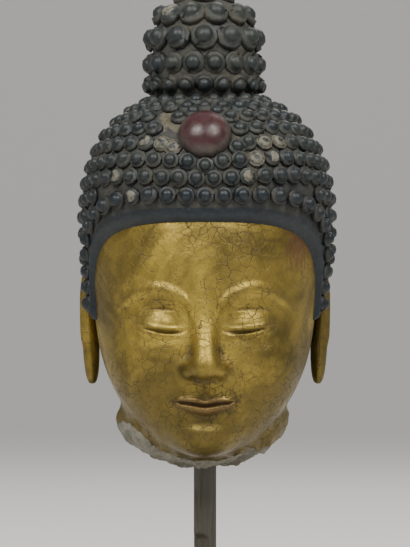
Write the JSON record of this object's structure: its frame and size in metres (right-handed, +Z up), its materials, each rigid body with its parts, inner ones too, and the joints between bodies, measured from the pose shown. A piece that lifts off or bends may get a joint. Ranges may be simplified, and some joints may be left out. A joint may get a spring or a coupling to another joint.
{
  "type": "buddha head sculpture",
  "caption": "Over-life-size clay head with snail-shell curls, a topknot, long ears and a domed hair jewel, held up on a round wooden post with a square foot.",
  "frame": {"origin": "middle of the foot's underside, on the axis of the post", "axes": "+Z up along the post, the face looks along -Y, +X is the head's left side"},
  "size_m": [0.2595, 0.2843, 0.646],
  "materials": {
    "gilded_clay": "worn gold leaf on clay, hair painted dark blue-grey",
    "red_lacquer": "dark red lacquer, satin",
    "old_wood": "bare, weathered",
    "dark_wood": "stained dark, satin"
  },
  "bodies": {
    "root": {"head": "gilded_clay", "hair_jewel": "red_lacquer", "post": "old_wood", "foot": "dark_wood"}
  },
  "joints": []
}
